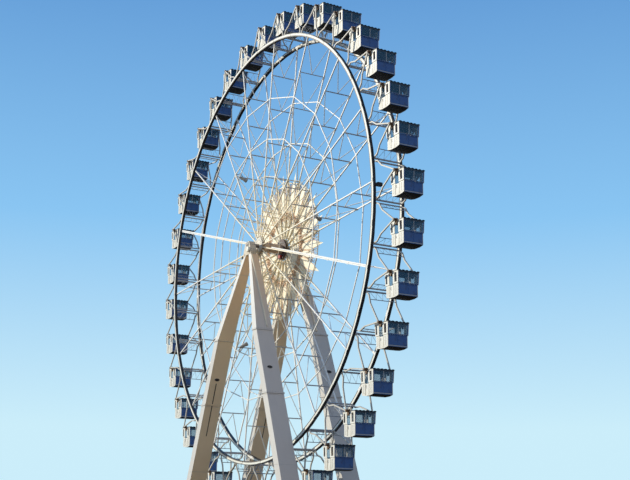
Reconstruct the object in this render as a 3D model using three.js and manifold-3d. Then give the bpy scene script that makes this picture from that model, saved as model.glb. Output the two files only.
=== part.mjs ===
// Ferris wheel, 1:2 scale model of a wheel about 50 m high. All sizes are millimetres of the model.
// The origin is on the ground under the middle of the axle. X is along the wheel's plane,
// Y is along the axle with the front of the wheel at negative Y, and Z is up.
import * as THREE from 'three';
import Module from 'manifold-3d';
import { mergeVertices } from 'three/addons/utils/BufferGeometryUtils.js';

const wasm = await Module();
wasm.setup();

// Driving dimensions
const HUB_HEIGHT = 13350;
const SEAT_GAP = 0.3;
const RIM_RADIUS = 10100;
const RIM_DEPTH = 160;
const RIM_WIDTH = 130;
const RIM_SIDES = 72;
const HALF_GAUGE = 680;
const CABIN_COUNT = 36;
const SPOKE_COUNT = 18;
const SECTION_COUNT = 6;
const FIRST_SPOKE_ANGLE = 6.6;
const PIVOT_RADIUS = 11520;

// Forks that carry the cabins, two from every fork station on the rims
const ARM_Y = 615;
const ARM_WIDTH = 52;
const FORK_BASE_RADIUS = 10160;
const FORK_BASE_OFFSET = 62;
const FORK_BEND_RADIUS = 10425;
const FORK_BEND_OFFSET = 165;
const KNEE_RADIUS = 10650;
const KNEE_OFFSET = 455;

// Spokes, whose chords stand closer together than the rims
const CHORD_Y = 638;
const CHORD_WIDTH = 50;
const CROSS_BAR_WIDTH = 38;
const CROSS_BAR_STATIONS = [5 / 6, 4 / 6, 3 / 6, 2 / 6];
const TIE_WIDTH = 40;
const TIE_STATIONS = [0.717, 0.517];

// Hub and axle
const FLANGE_RADIUS = 400;
const FLANGE_THICKNESS = 150;
const DRUM_RADIUS = 225;
const BRAKE_DISC_RADIUS = 500;
const BRAKE_DISC_Y = 520;
const BRAKE_DISC_THICKNESS = 50;
const AXLE_RADIUS = 100;
const AXLE_SIDES = 36;
const BEARING_CLEARANCE = 0.4;
const AXLE_END = 1310;

// Star panel on the back chords
const STAR_DISC_RADIUS = 3280;
const STAR_TIP_RADIUS = 3770;
const STAR_HOLE_RADIUS = 540;
const STAR_THICKNESS = 20;
const STAR_POINT_HALF_ANGLE = 2.8;

// Cabins, measured from the pivot on the cabin's top
const ROOF_TOP = 5;
const ROOF_THICKNESS = 45;
const ROOF_X = 480;
const ROOF_Y = 515;
const EAVES_X = 462;
const EAVES_Y = 492;
const BELT_Z = -510;
const BELT_X = 436;
const BELT_Y = 480;
const TUB_X = 409;
const TUB_Y = 455;
const CHAMFER_Z = -975;
const CHAMFER_X = 235;
const FLOOR_Z = -1020;
const WALL = 30;
const OPENING_X = 370;
const OPENING_Y = 412;
const WINDOW_TOP = -85;
const WINDOW_BOTTOM = -450;
const BEARING_HALF_X = 75;
const BEARING_TOP = 60;
const BEARING_BOTTOM = -130;
const BEARING_Y = 535;
const PIN_RADIUS = 24;
const PIN_SIDES = 6;

// Legs: half sizes and centres of the box girder at the ground, at its joint and under the head
const LEG_SECTIONS = [
  { z: 0, x: 5650, halfX: 235, y: 1485, halfY: 430 },
  { z: 9000, x: 2010, halfX: 205, y: 1420, halfY: 400 },
  { z: 12850, x: 265, halfX: 112, y: 1092, halfY: 190 },
];
const LEG_FLANGE_LEVELS = [9000, 6070];
const LEG_FLANGE_THICKNESS = 60;
const LEG_FLANGE_LIP = 30;
const FOOT_HALF_X = 420;
const FOOT_HALF_Y = 620;
const FOOT_THICKNESS = 80;

// Heads on the legs: half widths at heights measured from the axle
const HEAD_INNER_Y = 980;
const HEAD_OUTER_Y = 1290;
const HEAD_OUTLINE = [[385, -500], [385, -330], [215, 60], [150, 150]];

// How far a cutting tool reaches past the face that it cuts, and how near two corners join
const CUT_OVERRUN = 1;
const CORNER_TOLERANCE = 1e-3;

const toRadians = THREE.MathUtils.degToRad;

// Turns a geometry into a solid that can be cut and joined
function solid(geometry) {
  const plain = geometry.clone();
  plain.deleteAttribute('normal');
  plain.deleteAttribute('uv');
  const merged = mergeVertices(plain, CORNER_TOLERANCE);
  const mesh = new wasm.Mesh({
    numProp: 3,
    vertProperties: new Float32Array(merged.attributes.position.array),
    triVerts: new Uint32Array(merged.index.array),
  });
  return new wasm.Manifold(mesh);
}

// Turns a solid back into a geometry
function geometryOf(body) {
  const mesh = body.getMesh();
  const geometry = new THREE.BufferGeometry();
  geometry.setAttribute('position', new THREE.BufferAttribute(new Float32Array(mesh.vertProperties), 3));
  geometry.setIndex(new THREE.BufferAttribute(new Uint32Array(mesh.triVerts), 1));
  const facets = geometry.toNonIndexed();
  facets.computeVertexNormals();
  return facets;
}

function unite(bodies) {
  return bodies.reduce((whole, body) => whole.add(body));
}

// A point on the wheel: the angle is in degrees from the top towards positive X
function onWheel(angle, radius, y, along = 0) {
  const a = toRadians(angle);
  const x = radius * Math.sin(a) + along * Math.cos(a);
  const z = radius * Math.cos(a) - along * Math.sin(a);
  return new THREE.Vector3(x, y, z);
}

// The direction of growing angle at a place on the wheel
function tangent(angle) {
  const a = toRadians(angle);
  return new THREE.Vector3(Math.cos(a), 0, -Math.sin(a));
}

// The four corners of a level rectangle around the Z axis
function rectangle(halfX, halfY, z) {
  return [[1, 1], [-1, 1], [-1, -1], [1, -1]].map(([a, b]) => new THREE.Vector3(a * halfX, b * halfY, z));
}

// A closed prism through rings of corners, each ring in the same order
function ringBody(rings) {
  const count = rings[0].length;
  const positions = rings.flat().flatMap((p) => [p.x, p.y, p.z]);
  const index = [];
  for (let ring = 0; ring + 1 < rings.length; ring += 1) {
    for (let i = 0; i < count; i += 1) {
      const a = ring * count + i;
      const b = ring * count + ((i + 1) % count);
      index.push(a, b, b + count, a, b + count, a + count);
    }
  }
  const last = (rings.length - 1) * count;
  for (let i = 1; i + 1 < count; i += 1) {
    index.push(0, i + 1, i);
    index.push(last, last + i, last + i + 1);
  }
  const geometry = new THREE.BufferGeometry();
  geometry.setAttribute('position', new THREE.Float32BufferAttribute(positions, 3));
  geometry.setIndex(index);
  return solid(geometry);
}

// A square bar along a bent path with mitred corners. startNormal and endNormal tilt its end cuts.
function mitredBar(path, width, side, startNormal, endNormal) {
  const directions = [];
  for (let i = 0; i + 1 < path.length; i += 1) {
    directions.push(path[i + 1].clone().sub(path[i]).normalize());
  }
  const first = directions[0];
  const across = side.clone().addScaledVector(first, -side.dot(first)).normalize();
  const up = new THREE.Vector3().crossVectors(first, across);
  const half = width / 2;
  const corners = [[1, 1], [-1, 1], [-1, -1], [1, -1]].map(([a, b]) => (
    path[0].clone().addScaledVector(across, a * half).addScaledVector(up, b * half)
  ));
  const slide = (points, direction, place, normal) => points.map((p) => {
    const travel = place.clone().sub(p).dot(normal) / direction.dot(normal);
    return p.clone().addScaledVector(direction, travel);
  });
  const rings = [slide(corners, first, path[0], startNormal ?? first)];
  for (let i = 1; i < path.length; i += 1) {
    const before = directions[i - 1];
    const isLast = i === path.length - 1;
    const normal = isLast ? (endNormal ?? before) : before.clone().add(directions[i]);
    rings.push(slide(rings[i - 1], before, path[i], normal));
  }
  return ringBody(rings);
}

function box(minX, maxX, minY, maxY, minZ, maxZ) {
  const geometry = new THREE.BoxGeometry(maxX - minX, maxY - minY, maxZ - minZ);
  geometry.translate((minX + maxX) / 2, (minY + maxY) / 2, (minZ + maxZ) / 2);
  return solid(geometry);
}

// An outline in the XZ plane, given as [x, z] pairs, made thick along Y
function plate(outline, minY, maxY, holes = []) {
  const corners = outline.map(([x, z]) => new THREE.Vector2(x, z));
  if (THREE.ShapeUtils.isClockWise(corners)) {
    corners.reverse();
  }
  const shape = new THREE.Shape(corners);
  shape.holes = holes.map((hole) => new THREE.Path(hole.map(([x, z]) => new THREE.Vector2(x, z))));
  const geometry = new THREE.ExtrudeGeometry(shape, { depth: maxY - minY, bevelEnabled: false });
  geometry.rotateX(Math.PI / 2);
  geometry.translate(0, maxY, 0);
  return solid(geometry);
}

// A regular prism around the axle, with its first flat facing the given angle
function prism(radius, sides, minY, maxY, flatAngle = 0) {
  const outline = [];
  for (let i = 0; i < sides; i += 1) {
    const p = onWheel(flatAngle + ((i + 0.5) * 360) / sides, radius, 0);
    outline.push([p.x, p.z]);
  }
  return plate(outline, minY, maxY);
}

// Adds a named mesh to a group
function addPiece(group, name, body, colour, roughness, metalness) {
  const material = new THREE.MeshStandardMaterial({ color: colour, roughness, metalness });
  const mesh = new THREE.Mesh(geometryOf(body), material);
  mesh.name = name;
  group.add(mesh);
  return mesh;
}

// Wheel

// One stretch of a rim between two angles, on one side of the wheel
function rimArc(startAngle, endAngle, y) {
  const step = 360 / RIM_SIDES;
  const flat = Math.cos(toRadians(step / 2));
  const inner = RIM_RADIUS - RIM_DEPTH / 2;
  const outer = RIM_RADIUS + RIM_DEPTH / 2;
  const cornerAngles = [];
  for (let angle = startAngle + step / 2; angle < endAngle; angle += step) {
    cornerAngles.push(angle);
  }
  const row = (apothem) => {
    const start = onWheel(startAngle, apothem, 0, SEAT_GAP / 2);
    const end = onWheel(endAngle, apothem, 0, -SEAT_GAP / 2);
    const corners = cornerAngles.map((angle) => onWheel(angle, apothem / flat, 0));
    return [start, ...corners, end].map((p) => [p.x, p.z]);
  };
  const outline = [...row(outer), ...row(inner).reverse()];
  return plate(outline, y - RIM_WIDTH / 2, y + RIM_WIDTH / 2);
}

// One fork: an arm, its cross tube between the rims, and the arm at the back, for one cabin
function fork(stationAngle, towards) {
  const cabinAngle = stationAngle + (towards * 180) / CABIN_COUNT;
  const cut = tangent(cabinAngle);
  const arm = (y) => [
    onWheel(cabinAngle, PIVOT_RADIUS, y, (-towards * SEAT_GAP) / 2),
    onWheel(stationAngle, KNEE_RADIUS, y, towards * KNEE_OFFSET),
    onWheel(stationAngle, FORK_BEND_RADIUS, y, towards * FORK_BEND_OFFSET),
    onWheel(stationAngle, FORK_BASE_RADIUS, y, towards * FORK_BASE_OFFSET),
  ];
  const path = [...arm(-ARM_Y), ...arm(ARM_Y).reverse()];
  return mitredBar(path, ARM_WIDTH, new THREE.Vector3(0, 1, 0), cut, cut);
}

// A sixth of the two rims with the forks on it
function rimSection(startAngle) {
  const sweep = 360 / SECTION_COUNT;
  const pitch = 360 / CABIN_COUNT;
  const bodies = [-HALF_GAUGE, HALF_GAUGE].map((y) => rimArc(startAngle, startAngle + sweep, y));
  for (let station = startAngle + pitch / 2; station < startAngle + sweep; station += pitch) {
    bodies.push(fork(station, -1), fork(station, 1));
  }
  return unite(bodies);
}

// One spoke: front and back chords with cross bars between them
function spoke(angle) {
  const along = new THREE.Vector3(0, 1, 0);
  const innerEnd = FLANGE_RADIUS * Math.cos(Math.PI / SPOKE_COUNT) + SEAT_GAP;
  const outerEnd = RIM_RADIUS - RIM_DEPTH / 2 - SEAT_GAP;
  const bodies = [-CHORD_Y, CHORD_Y].map((y) => (
    mitredBar([onWheel(angle, innerEnd, y), onWheel(angle, outerEnd, y)], CHORD_WIDTH, along)
  ));
  for (const station of CROSS_BAR_STATIONS) {
    const radius = station * RIM_RADIUS;
    const path = [onWheel(angle, radius, -CHORD_Y), onWheel(angle, radius, CHORD_Y)];
    bodies.push(mitredBar(path, CROSS_BAR_WIDTH, tangent(angle)));
  }
  return unite(bodies);
}

// A straight tie from one spoke's chord to the next one's. A tie that leaves its group of spokes
// stops at the face of the next chord.
function tie(angle, radius, y, leavesGroup) {
  const nextAngle = angle + 360 / SPOKE_COUNT;
  const start = onWheel(angle, radius, y);
  const shortfall = leavesGroup ? -(CHORD_WIDTH / 2 + SEAT_GAP) : 0;
  const end = onWheel(nextAngle, radius, y, shortfall);
  return mitredBar([start, end], TIE_WIDTH, new THREE.Vector3(0, 1, 0), null, tangent(nextAngle));
}

// Three neighbouring spokes with their ties
function spokeGroup(firstAngle) {
  const pitch = 360 / SPOKE_COUNT;
  const perGroup = SPOKE_COUNT / SECTION_COUNT;
  const bodies = [];
  for (let i = 0; i < perGroup; i += 1) {
    const angle = firstAngle + i * pitch;
    bodies.push(spoke(angle));
    for (const station of TIE_STATIONS) {
      for (const y of [-CHORD_Y, CHORD_Y]) {
        bodies.push(tie(angle, station * RIM_RADIUS, y, i === perGroup - 1));
      }
    }
  }
  return unite(bodies);
}

// The drum that turns on the axle, with a many-sided flange for each row of chords and a brake disc
function hubDrum() {
  const half = FLANGE_THICKNESS / 2;
  const flanges = [-CHORD_Y, CHORD_Y].map((y) => (
    prism(FLANGE_RADIUS, SPOKE_COUNT, y - half, y + half, FIRST_SPOKE_ANGLE)
  ));
  const end = CHORD_Y + half;
  const drum = prism(DRUM_RADIUS, AXLE_SIDES, -end, end);
  const discFront = BRAKE_DISC_Y - BRAKE_DISC_THICKNESS / 2;
  const disc = prism(BRAKE_DISC_RADIUS, AXLE_SIDES, discFront, discFront + BRAKE_DISC_THICKNESS);
  const boreRadius = (AXLE_RADIUS + BEARING_CLEARANCE) / Math.cos(Math.PI / AXLE_SIDES);
  const bore = prism(boreRadius, AXLE_SIDES, -end - CUT_OVERRUN, end + CUT_OVERRUN);
  return unite([drum, disc, ...flanges]).subtract(bore);
}

// The round panel behind the back chords, with a point between every two spokes
function starPanel() {
  const outline = [];
  const pitch = 360 / SPOKE_COUNT;
  for (let i = 0; i < SPOKE_COUNT; i += 1) {
    const spokeAngle = FIRST_SPOKE_ANGLE + i * pitch;
    const pointAngle = spokeAngle + pitch / 2;
    const corners = [
      [spokeAngle, STAR_DISC_RADIUS],
      [pointAngle - STAR_POINT_HALF_ANGLE, STAR_DISC_RADIUS],
      [pointAngle, STAR_TIP_RADIUS],
      [pointAngle + STAR_POINT_HALF_ANGLE, STAR_DISC_RADIUS],
    ];
    for (const [angle, radius] of corners) {
      const p = onWheel(angle, radius, 0);
      outline.push([p.x, p.z]);
    }
  }
  const hole = [];
  for (let i = 0; i < SPOKE_COUNT; i += 1) {
    const p = onWheel(FIRST_SPOKE_ANGLE + (i + 0.5) * pitch, STAR_HOLE_RADIUS, 0);
    hole.push([p.x, p.z]);
  }
  const front = CHORD_Y + CHORD_WIDTH / 2 + SEAT_GAP;
  return plate(outline, front, front + STAR_THICKNESS, [hole]);
}

// Cabins

// The hollow cabin: flat roof, window zone that narrows towards the belt, and chamfered tub, open at
// its windows, with a bearing block and a pin on each end
function cabinBody() {
  const tubOutline = (inset) => [
    [TUB_X - inset, BELT_Z - inset],
    [TUB_X - inset, CHAMFER_Z],
    [TUB_X - CHAMFER_X - inset, FLOOR_Z + inset],
    [-TUB_X + CHAMFER_X + inset, FLOOR_Z + inset],
    [-TUB_X + inset, CHAMFER_Z],
    [-TUB_X + inset, BELT_Z - inset],
  ];
  const tub = plate(tubOutline(0), -TUB_Y, TUB_Y);
  const eaves = ROOF_TOP - ROOF_THICKNESS;
  const windowZone = ringBody([rectangle(BELT_X, BELT_Y, BELT_Z), rectangle(EAVES_X, EAVES_Y, eaves)]);
  const roof = box(-ROOF_X, ROOF_X, -ROOF_Y, ROOF_Y, eaves, ROOF_TOP);
  const room = plate(
    tubOutline(WALL).map(([x, z]) => [x, z === BELT_Z - WALL ? WINDOW_BOTTOM : z]),
    -TUB_Y + WALL,
    TUB_Y - WALL,
  );
  const sideWindows = box(-ROOF_X, ROOF_X, -OPENING_Y, OPENING_Y, WINDOW_BOTTOM, WINDOW_TOP);
  const endWindows = box(-OPENING_X, OPENING_X, -ROOF_Y, ROOF_Y, WINDOW_BOTTOM, WINDOW_TOP);
  const shell = unite([tub, windowZone, roof]).subtract(unite([room, sideWindows, endWindows]));
  const inside = EAVES_Y - WALL;
  const bearings = [[-BEARING_Y, -inside], [inside, BEARING_Y]].map(([from, to]) => (
    box(-BEARING_HALF_X, BEARING_HALF_X, from, to, BEARING_BOTTOM, BEARING_TOP)
  ));
  const pinEnd = ARM_Y - ARM_WIDTH / 2 - SEAT_GAP;
  const pins = [[-pinEnd, -inside], [inside, pinEnd]].map(([from, to]) => (
    prism(PIN_RADIUS, PIN_SIDES, from, to)
  ));
  return unite([shell, ...bearings, ...pins]);
}

// Frame

// A leg's corners at one height, for the side of the wheel that it stands on
function legRing(section, sideX, sideY, growth = 0) {
  const place = new THREE.Vector3(sideX * section.x, sideY * section.y, 0);
  return rectangle(section.halfX + growth, section.halfY + growth, section.z).map((p) => p.add(place));
}

// The leg's centre and size at any height
function legAt(z) {
  const upper = LEG_SECTIONS.findIndex((section) => section.z >= z);
  const [a, b] = [LEG_SECTIONS[Math.max(upper - 1, 0)], LEG_SECTIONS[Math.max(upper, 1)]];
  const t = (z - a.z) / (b.z - a.z);
  const mix = (key) => a[key] + (b[key] - a[key]) * t;
  return { z, x: mix('x'), halfX: mix('halfX'), y: mix('y'), halfY: mix('halfY') };
}

// A tapered box girder that leans in to the head, with collars at its joints and a foot plate
function leg(sideX, sideY) {
  const top = LEG_SECTIONS[LEG_SECTIONS.length - 1];
  const girder = ringBody([
    ...LEG_SECTIONS.slice(0, -1).map((section) => legRing(section, sideX, sideY)),
    legRing({ ...top, z: top.z - SEAT_GAP }, sideX, sideY),
  ]);
  const collars = LEG_FLANGE_LEVELS.map((level) => ringBody([
    legRing(legAt(level - LEG_FLANGE_THICKNESS / 2), sideX, sideY, LEG_FLANGE_LIP),
    legRing(legAt(level + LEG_FLANGE_THICKNESS / 2), sideX, sideY, LEG_FLANGE_LIP),
  ]));
  const ground = LEG_SECTIONS[0];
  const foot = box(
    sideX * ground.x - FOOT_HALF_X, sideX * ground.x + FOOT_HALF_X,
    sideY * ground.y - FOOT_HALF_Y, sideY * ground.y + FOOT_HALF_Y,
    0, FOOT_THICKNESS,
  );
  return unite([girder, ...collars, foot]);
}

// The head that joins two legs and holds one end of the axle
function head(sideY) {
  const outline = [...HEAD_OUTLINE, ...HEAD_OUTLINE.map(([x, z]) => [-x, z]).reverse()];
  const nearY = Math.min(sideY * HEAD_INNER_Y, sideY * HEAD_OUTER_Y);
  const farY = Math.max(sideY * HEAD_INNER_Y, sideY * HEAD_OUTER_Y);
  const bore = prism(AXLE_RADIUS + SEAT_GAP, AXLE_SIDES, nearY - CUT_OVERRUN, farY + CUT_OVERRUN);
  return plate(outline, nearY, farY).subtract(bore);
}

const ferrisWheel = new THREE.Group();
const axleHeight = new THREE.Group();
axleHeight.position.z = HUB_HEIGHT;
ferrisWheel.add(axleHeight);

const CREAM = 0xf0ebe0;
const SHADED_CREAM = 0xe6dfd2;
const AXLE_BROWN = 0x7a6a5c;
const PANEL_GOLD = 0xd9c391;
const CABIN_BLUE = 0x51689b;

for (const [rowName, sideY] of [['front', -1], ['back', 1]]) {
  for (const [handName, sideX] of [['left', -1], ['right', 1]]) {
    addPiece(ferrisWheel, `${rowName}_${handName}_leg`, leg(sideX, sideY), SHADED_CREAM, 0.5, 0.1);
  }
  addPiece(axleHeight, `${rowName}_head`, head(sideY), AXLE_BROWN, 0.5, 0.2);
}
addPiece(axleHeight, 'axle', prism(AXLE_RADIUS, AXLE_SIDES, -AXLE_END, AXLE_END), AXLE_BROWN, 0.4, 0.6);
addPiece(axleHeight, 'hub_drum', hubDrum(), AXLE_BROWN, 0.5, 0.3);
addPiece(axleHeight, 'star_panel', starPanel(), PANEL_GOLD, 0.6, 0.1);

for (let i = 0; i < SECTION_COUNT; i += 1) {
  const startAngle = FIRST_SPOKE_ANGLE + (i * 360) / SECTION_COUNT;
  const seamAngle = startAngle - 180 / SPOKE_COUNT;
  addPiece(axleHeight, `rim_section_${i + 1}`, rimSection(seamAngle), CREAM, 0.45, 0.1);
  addPiece(axleHeight, `spoke_group_${i + 1}`, spokeGroup(startAngle), CREAM, 0.45, 0.1);
}

const cabinShell = cabinBody();
for (let i = 0; i < CABIN_COUNT; i += 1) {
  const number = String(i + 1).padStart(2, '0');
  const cabin = addPiece(axleHeight, `cabin_${number}`, cabinShell, CABIN_BLUE, 0.5, 0.2);
  cabin.position.copy(onWheel(FIRST_SPOKE_ANGLE + (i * 360) / CABIN_COUNT, PIVOT_RADIUS, 0));
}

export default ferrisWheel;
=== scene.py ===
import math

import bmesh
import bpy
from mathutils import Matrix, Vector


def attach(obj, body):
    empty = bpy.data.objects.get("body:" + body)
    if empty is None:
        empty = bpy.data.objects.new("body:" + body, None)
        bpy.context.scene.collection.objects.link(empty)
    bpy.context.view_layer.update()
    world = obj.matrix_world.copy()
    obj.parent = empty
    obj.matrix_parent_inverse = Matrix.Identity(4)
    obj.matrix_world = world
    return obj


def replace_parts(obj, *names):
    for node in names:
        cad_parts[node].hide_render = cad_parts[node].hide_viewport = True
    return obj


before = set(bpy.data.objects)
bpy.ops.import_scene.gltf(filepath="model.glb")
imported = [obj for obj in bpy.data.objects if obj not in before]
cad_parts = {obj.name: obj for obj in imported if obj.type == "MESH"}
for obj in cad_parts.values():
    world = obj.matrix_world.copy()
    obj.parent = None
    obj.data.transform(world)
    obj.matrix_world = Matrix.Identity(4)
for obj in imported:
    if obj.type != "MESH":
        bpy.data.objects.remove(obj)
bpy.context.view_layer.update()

# Viewpoint
# The wheel is seen from the ground, 53 m away to its front right, with the camera tipped up by 14 degrees.
# The lens gives the view's width, so the legs' feet and the lowest cabins fall under its lower edge.
VIEW_WIDTH = 630
FOCAL_PIXELS = 1118.15
SENSOR = 36
FARTHEST_VIEW = 2000
EYE = Vector((46.121, -23.733, 0.647))
VIEW_RIGHT = Vector((0.494525, 0.869120, 0.008632))
VIEW_UP = Vector((0.209185, -0.128653, 0.969376))


def placed(name, data):
    """A new object in the scene."""
    made = bpy.data.objects.new(name, data)
    bpy.context.scene.collection.objects.link(made)
    return made


camera = placed("camera", bpy.data.cameras.new("camera"))
camera.data.sensor_width = SENSOR
camera.data.lens = SENSOR * FOCAL_PIXELS / VIEW_WIDTH
camera.data.clip_end = FARTHEST_VIEW
axes = Matrix((VIEW_RIGHT, VIEW_UP, VIEW_RIGHT.cross(VIEW_UP))).transposed()
camera.matrix_world = Matrix.Translation(EYE) @ axes.to_4x4()
bpy.context.scene.camera = camera


# Legs
# Four welded box girders of painted sheet steel, bolted together from three lengths at collars. They stand
# on base plates with gussets and anchor bolts. Each has an oval port on both sides, a long slot under the
# inner one, and a cable conduit on its outer side above the upper collar. The ports and the slot are
# near-black sheets on the faces: painted shade inside the openings.
def maths(operation):
    """A function of values that adds a Math node for them."""
    return lambda *values: Shade.node("Math", {"operation": operation}, dict(enumerate(values)))


class Shade:
    """A socket of a material's nodes. Sums on it add Math nodes, and node() adds any other."""

    tree = None
    __add__ = __radd__ = maths("ADD")
    __sub__ = maths("SUBTRACT")
    __mul__ = __rmul__ = maths("MULTIPLY")
    __gt__ = maths("GREATER_THAN")
    __lt__ = maths("LESS_THAN")
    __abs__ = maths("ABSOLUTE")

    def __init__(self, socket):
        self.socket = socket

    def __rsub__(self, other):
        return maths("SUBTRACT")(other, self)

    @classmethod
    def node(cls, kind, settings=None, inputs=None, out=0):
        made = cls.tree.nodes.new("ShaderNode" + kind)
        for key, value in (settings or {}).items():
            if key == "stops":
                stops = made.color_ramp.elements
                while len(stops) < len(value):
                    stops.new(1)
                for stop, (where, tone) in zip(stops, value):
                    stop.position = where
                    stop.color = (tone, tone, tone, 1)
            else:
                setattr(made, key, value)
        for key, value in (inputs or {}).items():
            if isinstance(value, Shade):
                cls.tree.links.new(value.socket, made.inputs[key])
            else:
                made.inputs[key].default_value = value
        return cls(made.outputs[out]) if made.outputs else made


def mixed(share, first, second):
    """The first colour, going over to the second as share goes from 0 to 1."""
    first, second = (tone if isinstance(tone, Shade) else (*tone, 1) for tone in (first, second))
    return Shade.node("Mix", {"data_type": "RGBA"}, {0: share, 6: first, 7: second}, 2)


def place():
    return Shade.node("TexCoord", out="Object")


def stretched(x, y, z):
    return Shade.node("VectorMath", {"operation": "MULTIPLY"}, {0: place(), 1: (x, y, z)})


def noise(scale, detail=4, where=None):
    return Shade.node("TexNoise", inputs={"Vector": where or place(), "Scale": scale, "Detail": detail})


def ramp(value, *stops):
    return Shade.node("ValToRGB", {"stops": stops}, {"Fac": value})


def blotches(scale, detail, low, high, where=None):
    """Noise spread out to 0 at low and under it, and to 1 at high and over it."""
    return ramp(noise(scale, detail, where), (low, 0), (high, 1))


def along(axis, source=None):
    return Shade.node("SeparateXYZ", inputs={"Vector": source or place()}, out=axis)


def facing(axis):
    """How far a face looks along an axis, from -1 to 1."""
    return along(axis, Shade.node("TexCoord", out="Normal"))


def finish(recipe, name=None):
    """A material made by a recipe for its surface's sockets. A height is given as a relief and its depth."""
    material = bpy.data.materials.new(name or recipe.__name__)
    material.use_nodes = True
    Shade.tree = material.node_tree
    Shade.tree.nodes.clear()
    sockets = recipe()
    if "height" in sockets:
        relief, depth = sockets.pop("height")
        sockets["Normal"] = Shade.node("Bump", inputs={"Height": relief, "Distance": depth})
    surface = Shade.node("BsdfPrincipled", inputs=sockets)
    Shade.node("OutputMaterial", inputs={"Surface": surface})
    return material


def two_tone(name, scale, first, second, roughness, detail=4):
    """A plain finish that drifts between two tones."""

    def recipe():
        return {"Base Color": mixed(noise(scale, detail), first, second), "Roughness": roughness}

    return finish(recipe, name)


CREAM = (0.88, 0.85, 0.79)
CREAM_SHADE = (0.62, 0.58, 0.53)
# The two tans below are painted bounce light, for the left legs' faces that look towards the middle.
PAINTED_BOUNCE_TAN = (1.0, 0.78, 0.50)
PAINTED_BOUNCE_TAN_TOP = (1.0, 0.70, 0.45)
# The next three tones are painted light on the right legs' outer faces: a warm brown for bounce light near
# their tops, and a rose grey and a slate for shade, front and back.
PAINTED_BOUNCE_BROWN_TOP = (1.0, 0.72, 0.47)
PAINTED_SHADE_ROSE_GREY = (0.72, 0.64, 0.58)
PAINTED_SHADE_SLATE = (0.55, 0.54, 0.52)
SOIL = (0.16, 0.12, 0.09)
WELD_PITCH = 1.5
WELD_WIDTH = 0.012


@finish
def leg_paint():
    streaks = blotches(1.4, 6, 0.45, 0.72, stretched(3.0, 3.0, 0.12))
    patches = blotches(0.35, 5, 0.35, 0.7)
    damp = ramp(along("Z"), (0.0, 1), (1.0, 0)) * ramp(noise(2.5, 6), (0.3, 0.2), (0.6, 1))
    weld = maths("PINGPONG")(along("Z") + 0.02, WELD_PITCH) < WELD_WIDTH
    # The paint goes darker towards the bottom.
    lower_darkening = ramp(along("Z") * 0.07, (0.55, 1), (0.9, 0))
    paint = mixed(patches * 0.2 + streaks * 0.2 + lower_darkening * 0.6, CREAM, CREAM_SHADE)
    # This share grows towards the legs' tops and warms them there: painted bounce light.
    top = ramp(along("Z") * 0.07, (0.6, 0), (0.9, 1))
    # The left legs' faces towards the middle are painted tan: painted bounce light from the sunlit legs
    # opposite.
    painted_bounce_face = (facing("X") > 0.5) * (along("X") < 0)
    paint = mixed(painted_bounce_face * (0.85 + patches * 0.15), paint, mixed(top, PAINTED_BOUNCE_TAN, PAINTED_BOUNCE_TAN_TOP))
    # The right legs' outer faces are painted darker grey, and browner towards their tops: painted shade,
    # with painted bounce light at the top.
    painted_shade_face = (facing("X") > 0.5) * (along("X") > 0)
    grey = mixed(along("Y") > 0, PAINTED_SHADE_ROSE_GREY, PAINTED_SHADE_SLATE)
    paint = mixed(painted_shade_face * (0.7 + top * 0.3), paint, mixed(top, grey, PAINTED_BOUNCE_BROWN_TOP))
    return {
        "Base Color": mixed(damp * 0.55, mixed(weld * 0.5, paint, CREAM_SHADE), SOIL),
        "Roughness": 0.38 + streaks * 0.15 + damp * 0.2,
        "Specular IOR Level": 0.4,
        "height": (noise(60, 3) * 0.2 + weld + patches * 0.4, 0.004),
    }


@finish
def galvanised_steel():
    flakes = Shade.node("TexVoronoi", inputs={"Vector": place(), "Scale": 40.0})
    dull = blotches(3, 5, 0.35, 0.7)
    return {
        "Base Color": mixed(dull * 0.6 + flakes * 0.5, (0.46, 0.47, 0.48), (0.30, 0.31, 0.32)),
        "Roughness": 0.42 + dull * 0.2,
        "Metallic": 0.7,
        "height": (flakes, 0.001),
    }


conduit_cream = two_tone("conduit_cream", 6, (1.0, 0.90, 0.72), (0.95, 0.82, 0.62), 0.85, 5)
# A near-black for dark parts, also used as painted shade in the legs' ports and slots.
near_black_and_hole_shade = two_tone("near_black_and_hole_shade", 8, (0.02, 0.02, 0.022), (0.06, 0.055, 0.05), 0.8)
CREASE = 35


def ring_turns(sides):
    return [2 * math.pi * k / sides for k in range(sides)]


def circle(centre, across, up, radius, sides):
    """The corners of a ring about centre, in the plane of across and up."""
    turns = ring_turns(sides)
    return [centre + across * (radius * math.cos(t)) + up * (radius * math.sin(t)) for t in turns]


def spread(count, reach=1.0):
    """Even places from -reach to reach."""
    return [reach * (2 * i / (count - 1) - 1) for i in range(count)]


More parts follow.
